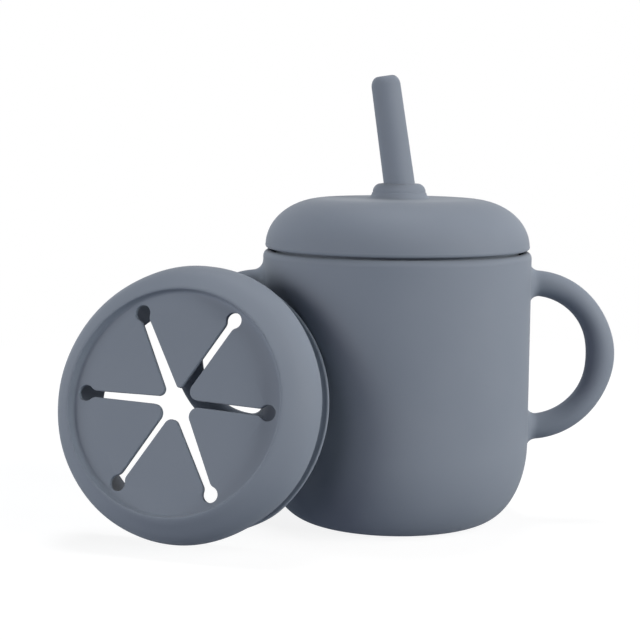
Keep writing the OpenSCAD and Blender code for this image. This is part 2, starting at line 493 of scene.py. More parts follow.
@dataclass
class CupWithHandles:
    """Cup and its two loop handles, moulded in one, with filleted roots."""

    outer_r: float = 42.5
    height: float = 85.5
    wall: float = 2.4
    floor: float = 2.6
    corner_run: float = 15.0
    corner_rise: float = 25.0
    rim_lift: float = 0.3  # the soft rim stands up against the lid's edge
    rim_run: float = 1.6
    rim_drop: float = 2.0
    rim_inside: float = 0.5
    loop_out: float = 1.1  # centre of the handle's loop, out from the wall
    loop_z: float = 52.2
    loop_reach: float = 22.55  # half width of the loop, to the middle of its tube
    loop_rise: float = 23.25  # half height of the loop, likewise
    tube_r: float = 4.08
    tube_swell: float = 0.5  # the grip is thicker at its outermost point
    swell_turn: float = 22.0  # degrees
    tube_depth: float = 4.35
    root_fillet: float = 3.2
    skirt_shares: tuple[float, ...] = (0.3, 0.6, 0.85)  # rings of the wall round a fillet
    fillet_rings: int = 7
    search_from: float = 60.0  # degrees along the loop, between which it meets the wall
    search_to: float = 125.0
    search_steps: int = 40
    columns: int = 192
    root_cells: int = 7  # half the width of the wall's patch round a handle's root
    rows_between: int = 40  # rows of the wall between the two roots
    loop_rings: int = 84
    corner_steps: int = 30
    inner_corner_steps: int = 24
    base_steps: int = 6
    rim_out_steps: int = 8
    rim_in_steps: int = 6
    inside_rows: int = 13
    inside_from: float = 2.0  # depth below the rim at which the inside's rows start
    points: list[Point] = field(default_factory=list)
    faces: list[list[int]] = field(default_factory=list)

    def radius(self, z: float) -> float:
        """Outer radius of the cup.

        Args:
            z: Height.

        Returns:
            The radius.
        """
        if z >= self.corner_rise:
            return self.outer_r
        share = 1 - z / self.corner_rise
        return self.outer_r - self.corner_run * (1 - math.sqrt(max(0.0, 1 - share**2)))

    def on_wall(self, side: int, along: float, z: float) -> Point:
        """Point of the outer wall.

        Args:
            side: 1 for the right side and -1 for the left.
            along: Distance round the wall from the handle's plane, towards +Y.
            z: Height.

        Returns:
            The point.
        """
        turn = along / self.outer_r
        r = self.radius(z)
        return (side * r * math.cos(turn), r * math.sin(turn), z)

    def on_tube(self, side: int, angle: float, round_angle: float) -> Point:
        """Point of a handle's tube.

        Args:
            side: 1 for the right handle and -1 for the left.
            angle: Place along the loop, from its outermost point.
            round_angle: Place round the tube, from +Y.

        Returns:
            The point.
        """
        swell = math.exp(-((angle / math.radians(self.swell_turn)) ** 2))
        thick = (self.tube_r + self.tube_swell * swell) * math.sin(round_angle)
        across, up = self.loop_rise * math.cos(angle), self.loop_reach * math.sin(angle)
        thick /= math.hypot(across, up)
        reach = self.loop_reach * math.cos(angle) + thick * across
        return (
            side * (self.outer_r + self.loop_out + reach),
            self.tube_depth * math.cos(round_angle),
            self.loop_z + self.loop_rise * math.sin(angle) + thick * up,
        )

    def meeting(self, side: int, end: int, round_angle: float, off: float) -> float:
        """Where a line along the tube comes within a distance of the wall.

        Args:
            side: 1 for the right handle and -1 for the left.
            end: 1 for the upper root and -1 for the lower.
            round_angle: Place of the line round the tube.
            off: Distance from the wall.

        Returns:
            The place along the loop, in radians.
        """
        near, far = math.radians(self.search_from), math.radians(self.search_to)
        for _ in range(self.search_steps):
            middle = (near + far) / 2
            x, y, z = self.on_tube(side, end * middle, round_angle)
            if math.hypot(x, y) > self.radius(z) + off:
                near = middle
            else:
                far = middle
        return end * near

    def add_ring(self, points: Sequence[Point]) -> list[int]:
        """Add points to the mesh.

        Args:
            points: Points of one ring.

        Returns:
            Their numbers.
        """
        start = len(self.points)
        self.points.extend(points)
        return list(range(start, len(self.points)))

    def add_turned(self, r: float, z: float) -> list[int]:
        """Add a level ring of the cup's body, or one point on its axis.

        Args:
            r: Radius of the ring, or 0.
            z: Height of the ring.

        Returns:
            A vertex number for each of the body's columns.
        """
        if r == 0:
            return self.add_ring([(0.0, 0.0, z)]) * self.columns
        turns = [2 * math.pi * i / self.columns for i in range(self.columns)]
        return self.add_ring([(r * math.cos(t), r * math.sin(t), z) for t in turns])

    def root_line(self) -> list[tuple[int, int]]:
        """Cells along the edge of the patch round a root.

        Returns:
            Column and row of each, from the root's middle, from +Y towards +Z.
        """
        n = self.root_cells
        corner = [(n, i) for i in range(n)] + [(n - i, n) for i in range(n)]
        return (
            corner
            + [(-j, i) for i, j in corner]
            + [(-i, -j) for i, j in corner]
            + [(j, -i) for i, j in corner]
        )

    def root_spoke(
        self, side: int, end: int, turn: float, edge_at: tuple[float, float], middle: float
    ) -> tuple[list[Point], float]:
        """Points from the wall's patch over the rounded fillet to the tube.

        Args:
            side: 1 for the right handle and -1 for the left.
            end: 1 for the upper root and -1 for the lower.
            turn: Place of the line round the tube.
            edge_at: Place on the wall where the patch ends, along and up.
            middle: Height of the root's middle.

        Returns:
            The points, and the place along the loop of the last one.
        """
        root = self.on_tube(side, self.meeting(side, end, turn, 0), turn)
        away = self.meeting(side, end, turn, self.root_fillet)
        start = self.on_tube(side, away, turn)
        along = self.outer_r * math.atan2(root[1], abs(root[0]))
        lift = root[2] - middle
        grow = 1 + self.root_fillet / math.hypot(along, lift)
        foot_at = (along * grow, middle + lift * grow)
        foot = self.on_wall(side, *foot_at)
        spoke = [
            self.on_wall(side, *(a + (b - a) * share for a, b in zip(edge_at, foot_at)))
            for share in self.skirt_shares
        ]
        for number in range(self.fillet_rings):
            bend = math.pi / 2 * number / (self.fillet_rings - 1)
            out, up = 1 - math.sin(bend), 1 - math.cos(bend)
            spoke.append(
                tuple(c + (f - c) * out + (s - c) * up for c, f, s in zip(root, foot, start))
            )
        return spoke, away

    def add_root(
        self, side: int, end: int, rows: list[list[int]], middle_row: int
    ) -> tuple[list[int], list[float]]:
        """Join the wall to one end of a handle.

        Args:
            side: 1 for the right handle and -1 for the left.
            end: 1 for the upper root and -1 for the lower.
            rows: Vertex numbers of the wall's rows.
            middle_row: Row at the root's height.

        Returns:
            The ring where the tube starts, and each of its places on the loop.
        """
        cell = 2 * math.pi * self.outer_r / self.columns
        middle = self.points[rows[middle_row][0]][2]
        line = self.root_line()
        count = len(line)
        step = 2 * math.pi / count
        last, spokes, places = [], [], []
        for k in range(count):
            # the ring runs round the tube, and so the wall's cells turn with its end
            i, j = line[k if end == 1 else -k % count]
            column = i if side == 1 else self.columns // 2 - i
            last.append(rows[middle_row + j][column % self.columns])
            edge_at = (i * cell, self.points[rows[middle_row + j][0]][2])
            spoke, away = self.root_spoke(side, end, k * step, edge_at, middle)
            spokes.append(spoke)
            places.append(away)
        for ring in zip(*spokes):
            new = self.add_ring(ring)
            self.faces += bridge(last, new)
            last = new
        return last, places

    def add_handle(self, side: int, rows: list[list[int]], low_row: int) -> None:
        """Add one handle: both roots and the tube between them.

        Args:
            side: 1 for the right handle and -1 for the left.
            rows: Vertex numbers of the wall's rows.
            low_row: Row at the lower root's height.
        """
        upper, upper_at = self.add_root(side, 1, rows, low_row + self.rows_between)
        lower, lower_at = self.add_root(side, -1, rows, low_row)
        step = 2 * math.pi / len(upper)
        last = upper
        for ring in range(1, self.loop_rings):
            share = ring / self.loop_rings
            new = self.add_ring(
                [
                    self.on_tube(side, a + (b - a) * share, k * step)
                    for k, (a, b) in enumerate(zip(upper_at, lower_at))
                ]
            )
            self.faces += bridge(last, new)
            last = new
        self.faces += bridge(last, lower)

    def levels(self) -> list[float]:
        """Heights of the wall's rows, spaced so that the patches round the roots fit.

        Returns:
            The heights, from the bottom up.
        """
        half = self.loop_rise * math.sqrt(1 - (self.loop_out / self.loop_reach) ** 2)
        gap = 2 * half / self.rows_between
        first = self.loop_z - half - self.root_cells * gap
        return [first + gap * i for i in range(self.rows_between + 2 * self.root_cells + 1)]

    def underside(self, end_z: float) -> Profile:
        """Line of the flat base and of the round corner below the wall's rows.

        Args:
            end_z: Height of the wall's lowest row.

        Returns:
            The line, from the axis out and up.
        """
        corner_r = self.outer_r - self.corner_run
        end = -math.degrees(math.asin(1 - end_z / self.corner_rise))
        run, rise = self.corner_run, self.corner_rise
        corner = arc(corner_r, rise, run, rise, -90, end, self.corner_steps)
        base = [(r, 0.0) for r in np.linspace(0, corner_r, self.base_steps + 1)[1:-1]]
        return [(0.0, 0.0)] + base + corner[:-1]

    def mouth_and_inside(self) -> Profile:
        """Line of the rim and of the cup's inside.

        Returns:
            The line, from the rim's outer side over it and down to the axis.
        """
        mouth_r, corner_r = self.outer_r - self.wall, self.outer_r - self.corner_run
        top, soft = self.height + self.rim_lift, self.rim_inside
        run, drop = self.rim_run, self.rim_drop
        rim = arc(self.outer_r - run, top - drop, run, drop, 0, 90, self.rim_out_steps)
        rim += arc(mouth_r + soft, top - soft, soft, soft, 90, 180, self.rim_in_steps)
        heights = np.linspace(top - self.inside_from, self.corner_rise, self.inside_rows + 1)
        inside = [(mouth_r, z) for z in heights[:-1]]
        inside += arc(
            corner_r,
            self.corner_rise,
            self.corner_run - self.wall,
            self.corner_rise - self.floor,
            0,
            -90,
            self.inner_corner_steps,
        )
        floor = [(r, self.floor) for r in np.linspace(corner_r, 0, self.base_steps + 1)[1:-1]]
        return rim + inside + floor + [(0.0, self.floor)]

    def build(self, material: bpy.types.Material) -> bpy.types.Object:
        """Build the moulding.

        Args:
            material: Finish of the cup.

        Returns:
            The piece, riding on the cup's body.
        """
        levels, cells = self.levels(), self.root_cells
        lower = [self.add_turned(r, z) for r, z in self.underside(levels[0])]
        wall = [self.add_turned(self.radius(z), z) for z in levels]
        upper = [self.add_turned(r, z) for r, z in self.mouth_and_inside()]
        count = len(levels) - 1
        for row in range(count):
            near_root = row < 2 * cells or row >= count - 2 * cells
            for column, quad in enumerate(bridge(wall[row], wall[row + 1])):
                from_handle = (column + cells) % (self.columns // 2)
                if not (near_root and from_handle < 2 * cells):
                    self.faces.append(quad)
        below, above = lower + [wall[0]], [wall[-1]] + upper
        for one, two in [*zip(below, below[1:]), *zip(above, above[1:])]:
            self.faces += bridge(one, two)
        for side in (1, -1):
            self.add_handle(side, wall, cells)
        piece = make_piece("cup_with_handles", self.points, self.faces)
        piece.data.materials.append(material)
        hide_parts("cup", "handle_left", "handle_right")
        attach(piece, "cup")
        return piece


# ---------------------------------------------------------------- lids


@dataclass
class LidEdge:
    """What both lids share: the dome's side, the undercut, the plug and its lip.

    Heights are above the dome's lower edge.
    """

    outer_r: float = 41.8
    dome_run: float = 18.8
    dome_rise: float = 14.95
    band: float = 0.75
    edge_turn: float = 0.9  # rounding under the dome's side
    edge_rise: float = 0.75
    edge_steps: int = 7
    bead: float = 0.07  # parting line of the mould, proud of the dome's side
    bead_h: float = 0.5
    bead_flank: float = 0.35  # share of the bead's height on either side of its flat
    bead_end: float = 0.01  # the side is drawn in by this above the bead
    hollow_r: float = 37.1  # undercut above the plug, in which the seam goes dark
    hollow_top: float = 0.5
    hollow_low: float = -1.2
    hollow_soft: float = 0.3  # cut corner of the undercut
    hollow_out: float = 0.5  # where its roof starts to come down to the dome's edge
    hollow_step: float = 0.2
    hollow_lift: float = 0.3  # share of the roof's height that is left at the dome's edge
    plug_r: float = 38.6
    plug_wall: float = 2.2
    plug_end: float = 10.3
    plug_round: float = 0.5
    plug_in: float = 0.15  # the plug draws in just below the undercut
    lip_up: float = 1.6
    lip_root: float = 1.3
    lip_edge: float = 1.1  # the lip ends in a soft bead, curled up a little
    lip_curl: float = 0.35
    lip_flat: float = 0.5  # flat behind the lip's bead, which dips a little
    lip_dip: float = 0.1
    # where the lip's upper face turns up into the plug: out from the plug, up from the lip
    lip_fillet: tuple[tuple[float, float], ...] = (
        (0.7, 0.0), (0.25, 0.08), (0.06, 0.22), (0.0, 0.5),
    )

    @property
    def crown_r(self) -> float:
        """Radius at which the dome's curve ends in its flat crown."""
        return self.outer_r - self.dome_run

    def dome(self, to_r: float, steps: int) -> Profile:
        """Outer line from the undercut over the dome's side up to a radius.

        Args:
            to_r: Radius at which the line ends.
            steps: Number of steps of the dome's curve.

        Returns:
            The line, from the bottom up.
        """
        r, turn, soft, lift = self.outer_r, self.edge_turn, self.hollow_soft, self.hollow_lift
        roof, bead_top = self.hollow_top, self.band + self.bead_h
        end = math.degrees(math.acos((to_r - self.crown_r) / self.dome_run))
        curve = arc(self.crown_r, self.band, self.dome_run, self.dome_rise, 0, end, steps)
        start = next(i for i, p in enumerate(curve) if p[1] > bead_top)
        return (
            [(self.hollow_r, roof - soft), (self.hollow_r + soft, roof)]
            + [(r - turn - self.hollow_out, roof), (r - turn - self.hollow_step, roof * lift)]
            + arc(r - turn, self.edge_rise, turn, self.edge_rise, -90, 0, self.edge_steps)[:-1]
            + [(r + self.bead, self.band + self.bead_h * self.bead_flank)]
            + [(r + self.bead, self.band + self.bead_h * (1 - self.bead_flank))]
            + [(r - self.bead_end, bead_top)]
            + curve[start:]
        )

    def plug(self, lip_r: float, inner: float) -> Profile:
        """Line of the plug from its inner corner round to its undercut.

        Args:
            lip_r: Radius of the sealing lip's edge.
            inner: Radius of the plug's inner side.

        Returns:
            The line, from the inside out to the undercut.
        """
        r, end, turn = self.plug_r, -self.plug_end, self.plug_round
        small, soft, low = turn / 5, self.hollow_soft, self.hollow_low
        lip = end + self.lip_up
        half, root = self.lip_edge / 2, self.lip_root / 2
        top = lip - self.lip_curl + root  # where the lip's upper face leaves the plug
        return (
            arc(inner + turn, end + turn, turn, turn, 180, 270, 4)
            + arc(r - small, end + small, small, small, -90, 0, 3)
            + arc(lip_r - half, lip, half, half, -75, 100, 10)
            + [(lip_r - half - self.lip_flat, lip + half - self.lip_dip)]
            + [(r + out, top + up) for out, up in self.lip_fillet]
            + [(r, low - 2 * soft), (r - self.plug_in, low - soft)]
            + [(self.hollow_r + soft, low), (self.hollow_r, low + soft)]
        )


@dataclass
class StrawLid:
    """Domed lid with a collar that holds the straw, fitted on the cup."""

    edge: LidEdge
    lathe: Lathe
    base_z: float = 86.5
    shell: float = 2.2
    lip_r: float = 40.05
    bore_r: float = 5.0
    bore_edge: float = 0.35
    bore_straight: float = 1.5  # depth at which the bore's rows start
    collar_h: float = 4.7
    collar_r: float = 8.4
    collar_run: float = 2.6  # rounding of the collar's top
    collar_drop: float = 2.8
    collar_from: float = 8.0  # degrees, where that rounding starts from the crease
    collar_shift: float = 0.4
    neck_in: float = 0.14  # crease between the collar's rounding and its flared foot
    neck_h: float = 0.4
    neck_under: float = 0.9  # share of the rounding's drop at which the crease starts
    neck_soft: float = 0.3  # share of the crease's height that each of its ends takes
    foot_r: float = 11.2
    foot_run: float = 2.6
    crown_rings: tuple[float, ...] = (20.0, 16.0, 13.0, 11.8)
    sleeve_r: float = 8.1
    sleeve: float = 3.0
    sleeve_soft: float = 0.4
    sleeve_root: float = 1.0
    sleeve_shift: float = 0.5  # the sleeve stays round the leaning bore
    inner_crown: float = 6.0  # the inner crown's flat ends this far within its curve
    meet_before: float = 2.0  # degrees by which that curve stops short of the plug
    meet_below: float = 0.5
    lean: float = 8.6
    dome_steps: int = 64
    segments: int = 224

    def inner_line(self) -> Profile:
        """Line of the lid's inside, from the sleeve's end out to the plug.

        Returns:
            The line.
        """
        edge, soft, root = self.edge, self.sleeve_soft, self.sleeve_root
        plug_in = edge.plug_r - edge.plug_wall
        run, rise = edge.dome_run - self.shell, edge.dome_rise - self.shell
        meet = math.degrees(math.acos((plug_in - edge.crown_r) / run))
        meet_z = edge.band + rise * math.sin(math.radians(meet)) - self.meet_below
        under = edge.band + edge.dome_rise - self.shell
        return (
            [(self.sleeve_r - soft, under - self.sleeve)]
            + [(self.sleeve_r, under - self.sleeve + soft)]
            + arc(self.sleeve_r + root, under - root, root, root, 180, 90, 4)
            + [(edge.crown_r - self.inner_crown, under)]
            + arc(edge.crown_r, edge.band, run, rise, 90, meet + self.meet_before, 24)
            + [(plug_in, meet_z)]
            + edge.plug(self.lip_r, plug_in)
        )

    def collar_line(self, crown: float) -> Profile:
        """Line of the collar, from its flared foot up to its top.

        Args:
            crown: Height of the dome's crown.

        Returns:
            The line.
        """
        run, drop = self.collar_run, self.collar_drop
        top = crown + self.collar_h
        neck = top - drop * self.neck_under - self.neck_h
        low, high = self.neck_h * self.neck_soft, self.neck_h * (1 - self.neck_soft)
        return (
            arc(self.foot_r, neck, self.foot_run, neck - crown, -90, -180, 12)
            + [(self.foot_r - self.foot_run - self.neck_in, neck + low)]
            + [(self.collar_r - self.neck_in, neck + high)]
            + arc(self.collar_r - run, top - drop, run, drop, self.collar_from, 90, 12)
        )

    def build(self, material: bpy.types.Material) -> bpy.types.Object:
        """Build the lid as one turned body.

        Args:
            material: Finish of the lid.

        Returns:
            The piece, riding on the straw lid's body.
        """
        edge, soft = self.edge, self.bore_edge
        crown = edge.band + edge.dome_rise
        top, low = crown + self.collar_h, crown - self.shell - self.sleeve
        body = self.inner_line() + edge.dome(edge.crown_r, self.dome_steps)
        body += [(r, crown) for r in self.crown_rings]
        collar = self.collar_line(crown)
        bore = arc(self.bore_r + soft, top - soft, soft, soft, 90, 180, 4)
        # the collar's inner edge leans with the bore, all but its highest point
        collar, bore = collar + bore[:1], bore[1:]
        bore += [(self.bore_r, z) for z in np.linspace(top - self.bore_straight, low, 6)]
        tilt = math.tan(math.radians(self.lean))
        sideways = (
            [self.collar_shift + self.sleeve_shift] * 2
            + [0.0] * (len(body) - 2)
            + [self.collar_shift] * len(collar)
            + [self.collar_shift + (top - z) * tilt for _, z in bore]
        )
        profile = [(r, z + self.base_z) for r, z in body + collar + bore]
        piece = self.lathe.turn(
            "straw_lid_moulding", profile, material, self.segments, sideways, closed=True
        )
        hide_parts("straw_lid")
        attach(piece, "straw_lid")
        return piece


@dataclass
class Straw:
    """Soft straw that stands in the collar and leans to the left."""

    lathe: Lathe
    foot: Point = (0.4, 0.0, 106.9)  # where the straw leaves the collar
    lean: float = 8.6
    held_r: float = 4.9
    tip_r: float = 4.58
    bore_r: float = 3.3
    mouth_r: float = 1.9
    mouth_from: float = 1.0  # depth at which the mouth starts to widen to the bore
    mouth_depth: float = 5.0
    mouth_run: float = 0.3  # rounding of the mouth's edge
    mouth_drop: float = 0.35
    bore_from: float = 12.0  # depth at which the bore's even rows start
    above: float = 34.0
    below: float = 99.69
    tip_run: float = 2.41
    tip_drop: float = 3.2
    foot_round: float = 0.4
    segments: int = 96

    def outside(self) -> Profile:
        """Line of the straw's outside, from its foot to its mouth.

        Returns:
            The line.
        """
        tip, drop, soft = self.above, self.tip_drop, self.foot_round
        return (
            [(self.held_r, z) for z in np.linspace(-self.below + soft, 0, 24)]
            + [
                (self.held_r + (self.tip_r - self.held_r) * share, (tip - drop) * share)
                for share in np.linspace(0, 1, 14)[1:-1]
            ]
            + arc(self.tip_r - self.tip_run, tip - drop, self.tip_run, drop, 0, 88, 12)
        )

    def inside(self) -> Profile:
        """Line of the mouth, the bore and the foot's end.

        Returns:
            The line, from the mouth down to the foot.
        """
        tip, soft, low = self.above, self.foot_round, -self.below + self.foot_round
        run, drop = self.mouth_run, self.mouth_drop
        return (
            arc(self.mouth_r + run, tip - drop, run, drop, 85, 180, 5)
            + [
                (
                    self.mouth_r + (self.bore_r - self.mouth_r) * (3 * s**2 - 2 * s**3),
                    tip - self.mouth_from - self.mouth_depth * s,
                )
                for s in np.linspace(0, 1, 9)
            ]
            + [(self.bore_r, z) for z in np.linspace(tip - self.bore_from, low, 22)]
            + arc(self.bore_r + soft, low, soft, soft, 180, 270, 4)
            + arc(self.held_r - soft, low, soft, soft, -90, 0, 4)[:-1]
        )

    def build(self, material: bpy.types.Material) -> bpy.types.Object:
        """Build the straw with its rounded tip and bore.

        Args:
            material: Finish of the straw.

        Returns:
            The piece, riding on the straw's body.
        """
        profile = self.outside() + self.inside()
        piece = self.lathe.turn("straw_tube", profile, material, self.segments, closed=True)
        leaned = Matrix.Rotation(math.radians(-self.lean), 4, "Y")
        piece.data.transform(Matrix.Translation(Vector(self.foot) * MM) @ leaned)
        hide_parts("straw")
        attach(piece, "straw")
        return piece


@dataclass(frozen=True)
class Slit:
    """One slit of the flap disc, from its end hole to the disc's middle."""

    across: float  # the end hole's centre, along the lid's level axis
    up: float  # the end hole's centre, along the lid's rising axis
    width_out: float
    width_in: float
    meet_across: float = 0.1  # where all the slits meet, a little off the lid's middle
    meet_up: float = -0.5

    @property
    def hole(self) -> np.ndarray:
        """Centre of the end hole."""
        return np.array([self.across, self.up])

    @property
    def meet(self) -> np.ndarray:
        """Point where the slits meet."""
        return np.array([self.meet_across, self.meet_up])

    @property
    def outward(self) -> np.ndarray:
        """Direction from the slits' meeting point to the end hole."""
        return unit(self.hole - self.meet)

    @property
    def left(self) -> np.ndarray:
        """Direction across the slit, a quarter turn on from outward."""
        return np.array([-self.outward[1], self.outward[0]])

    def edge(self, way: int) -> tuple[np.ndarray, np.ndarray]:
        """One edge of the slit.

        Args:
            way: 1 for the left edge and -1 for the right.

        Returns:
            Its outer and its inner end.
        """
        return (
            self.hole + way * self.left * self.width_out / 2,
            self.meet + way * self.left * self.width_in / 2,
        )


@dataclass
class SnackLid:
    """Lid with a slit disc, off the cup and leaning on its left side."""

    edge: LidEdge
    lathe: Lathe
    origin: Point = (-65.103, -33.252, 42.172)
    turn: float = 21.9  # degrees, to the left
    lean: float = 15.2  # degrees, back on the cup
    lip_r: float = 41.1
    opening_r: float = 33.0
    opening_round: float = 0.4
    bezel_r: float = 33.5
    bezel_slope: float = 0.25
    bezel_round: float = 0.6
    bezel_foot: float = 0.1  # the bezel's rounding starts this far in,
    bezel_under: float = 1.2  # this share of it down,
    bezel_over: float = 1.6  # and ends this share of it out on the dome
    crease_run: float = 1.0  # hollow rounding between the bezel and the disc
    crease_rise: float = 1.6
    recess_at: tuple[float, float] = (-0.05, -0.9)  # the recess sits a little low
    recess_hold: float = 34.0  # inside this radius the ring is moved as one
    recess_end: float = 38.5
    side_r: float = 41.0  # from this radius on the side takes its whole shift
    # the soft side is pressed out of round where it stands and leans
    side_out: tuple[float, ...] = (
        0.15, -0.15, 0.0, -0.28, -0.72, -0.62, -0.28, 0.04, 0.3, 0.25, 0.0, 0.55,
    )
    lip_below: float = -2.0  # height under which the plug and lip take no such shift
    lip_in: float = 1.3  # the lip is bent under it there
    lip_turn: float = -67.0  # degrees
    lip_span: float = 22.0
    disc_top: float = 10.329
    disc_t: float = 1.7
    hole_r: float = 2.36
    mouth_round: float = 2.4
    edge_round: float = 0.25
    flat_rim: float = 0.15  # flat strip beside a rounding, which keeps the shading flat
    round_steps: int = 3
    across_steps: int = 8
    straight_steps: int = 20
    straight_crowd: float = 1.2  # power that crowds a straight edge's points at its mouth
    tip_steps: int = 10
    tip_least: float = 0.9  # least radius of a flap's rounded tip
    bend_start: float = 25.3
    bend_end: float = 22.4
    level: float = 0.9999  # a face whose normal is steeper than this is level
    segments: int = 240
    slits: tuple[Slit, ...] = (
        Slit(28.95, -2.05, 2.0, 2.0),
        Slit(15.65, 24.2, 2.6, 2.5),
        Slit(-13.5, 25.1, 2.4, 3.9),
        Slit(-29.1, 0.25, 1.8, 2.6),
        Slit(-15.75, -25.6, 1.9, 2.2),
        Slit(13.65, -26.7, 2.2, 4.1),
    )
    tips: tuple[float, ...] = (4.8, 4.1, 4.9, 5.2, 5.3, 5.5)

    @property
    def floor_r(self) -> float:
        """Radius at which the disc's top face ends in the hollow rounding."""
        return self.bezel_r - self.bezel_slope - self.crease_run

    def place(self) -> Matrix:
        """Where the lid stands.

        Returns:
            Matrix from the lid's own frame to the model's, in metres.
        """
        return (
            Matrix.Translation(Vector(self.origin) * MM)
            @ Matrix.Rotation(math.radians(-self.turn), 4, "Z")
            @ Matrix.Rotation(math.radians(90 - self.lean), 4, "X")
        )

    def rounded(self, line: np.ndarray, inward: np.ndarray, flat: float) -> list[np.ndarray]:
        """Rows that round a wall's edges from its top strip to its bottom strip.

        Args:
            line: Points of the wall's outline.
            inward: Direction into the solid at each point.
            flat: Width of the flat strip beside the rounding, or 0 for none.

        Returns:
            Rows of points, from the top face to the bottom face.
        """
        r, top = self.edge_round, self.disc_top
        bends = np.radians(np.linspace(0, 90, self.round_steps + 1))
        sides = [(r + flat, 0.0)] if flat else []
        sides += [(r * (1 - math.sin(b)), r * (1 - math.cos(b))) for b in bends]
        rows = [(inset, top - drop) for inset, drop in sides]
        rows += [(inset, top - self.disc_t + drop) for inset, drop in reversed(sides)]
        return [
            np.column_stack([line + inward * inset, np.full(len(line), z)]) for inset, z in rows
        ]

    def hole_arc(self, slit: Slit, start: np.ndarray, end: np.ndarray, steps: int) -> np.ndarray:
        """Points round part of an end hole, by the short way.

        Args:
            slit: Slit that the hole ends.
            start: First point, at any distance from the hole's centre.
            end: Last point, likewise.
            steps: Number of steps.

        Returns:
            The points on the hole's edge.
        """
        round_hole = short_way(start - slit.hole, end - slit.hole, steps)
        return slit.hole + self.hole_r * round_hole

    def flap_side(
        self, slit: Slit, way: int, chord: np.ndarray, tip: np.ndarray
    ) -> np.ndarray:
        """One side of a flap from its chord past the slit to the flap's tip.

        Args:
            slit: Slit on that side.
            way: 1 where the flap lies to the slit's left, and -1 to its right.
            chord: Direction along the chord, into the flap.
            tip: Points of this side's half of the rounded tip, towards the middle.

        Returns:
            The outline's points.
        """
        outer, inner = slit.edge(way)
        along = unit(inner - outer)
        aside = way * np.array([along[1], -along[0]])
        # the slit widens into its end hole by a rounding that touches both
        back = outer + aside * self.mouth_round - slit.hole
        dot = back @ along
        far = self.hole_r + self.mouth_round
        foot = outer + along * (-dot + math.sqrt(dot**2 - back @ back + far**2))
        centre = foot + aside * self.mouth_round
        touch = slit.hole + (centre - slit.hole) * self.hole_r / far
        neck = self.hole_arc(slit, slit.hole + chord * self.hole_r, touch, 6)
        start, end = touch - centre, foot - centre
        bends = np.linspace(0, 1, 9)[1:, None]
        swing = math.acos(float(start @ end) / self.mouth_round**2)
        mouth = centre + (
            np.sin((1 - bends) * swing) * start + np.sin(bends * swing) * end
        ) / math.sin(swing)
        shares = np.linspace(0, 1, self.straight_steps + 1) ** self.straight_crowd
        straight = foot + np.outer(shares, tip[0] - foot)
        return np.vstack([neck, mouth, straight[1:], tip[1:]])

    def flap_sides(self, number: int) -> tuple[np.ndarray, np.ndarray, np.ndarray]:
        """Both sides of a flap's outline, and the direction of its chord.

        Args:
            number: Flap's number from 0.

        Returns:
            Right side and left side from chord to tip, and the chord's direction.
        """
        first, second = self.slits[number], self.slits[(number + 1) % len(self.slits)]
        chord = unit(second.hole - first.hole)
        (p, q), (s, t) = first.edge(1), second.edge(-1)
        d, e = unit(p - q), unit(s - t)
        k = np.linalg.solve(np.column_stack([d, -e]), t - q)
        apex = q + d * k[0]  # where the two slits' edges would meet
        axis = unit(d + e)
        half = math.acos(float(d @ e)) / 2
        reach = self.tips[number] - float((apex - first.meet) @ axis)
        r = max(self.tip_least, reach / (1 / math.sin(half) - 1))
        centre = apex + axis * r / math.sin(half)
        tips = [
            centre + r * short_way(normal, -axis, self.tip_steps)
            for normal in (np.array([d[1], -d[0]]), np.array([-e[1], e[0]]))
        ]
        right = self.flap_side(first, 1, chord, tips[0])
        left = self.flap_side(second, -1, -chord, tips[1])
        return right, left, chord

    @staticmethod
    def inward(line: np.ndarray, way: int, first: np.ndarray, last: np.ndarray) -> np.ndarray:
        """Unit normals of a line, with those of its ends given.

        Args:
            line: Points of the line.
            way: 1 for the line's left side and -1 for its right.
            first: Normal at the first point.
            last: Normal at the last point.

        Returns:
            One normal for each point.
        """
        ahead = np.gradient(line, axis=0)
        normals = way * np.column_stack([-ahead[:, 1], ahead[:, 0]])
        normals /= np.linalg.norm(normals, axis=1)[:, None]
        normals[0], normals[-1] = first, last
        return normals

    def build_flap(self, number: int, material: bpy.types.Material) -> bpy.types.Object:
        """Build one bending flap.

        Args:
            number: Flap's number from 0.
            material: Finish of the lid.

        Returns:
            The piece, in the model's frame.
        """
        right, left, chord = self.flap_sides(number)
        axis = np.array([chord[1], -chord[0]])
        flat = self.flat_rim
        rows_right = self.rounded(right, self.inward(right, -1, chord, axis), flat)
        rows_left = self.rounded(left, self.inward(left, 1, -chord, axis), flat)
        between = np.linspace(0, 1, self.across_steps + 1)[1:-1]
        top = [rows_left[0] + (rows_right[0] - rows_left[0]) * s for s in between]
        under = [rows_right[-1] + (rows_left[-1] - rows_right[-1]) * s for s in between]
        loops = top + rows_right + under + rows_left[::-1]
        rings = np.stack(loops, 1)
        count = rings.shape[1]
        faces = []
        for j in range(len(rings) - 1):
            faces += bridge(
                range(j * count, (j + 1) * count), range((j + 1) * count, (j + 2) * count)
            )
        faces.append(list(range(count)))
        name = f"flap_{number + 1}"
        piece = make_piece(f"snack_{name}", rings.reshape(-1, 3), faces)
        piece.data.set_sharp_from_angle(angle=SHARP_ANGLE)
        piece.data.transform(self.place())
        piece.data.materials.append(material)
        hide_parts(name)
        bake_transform(piece)
        return piece

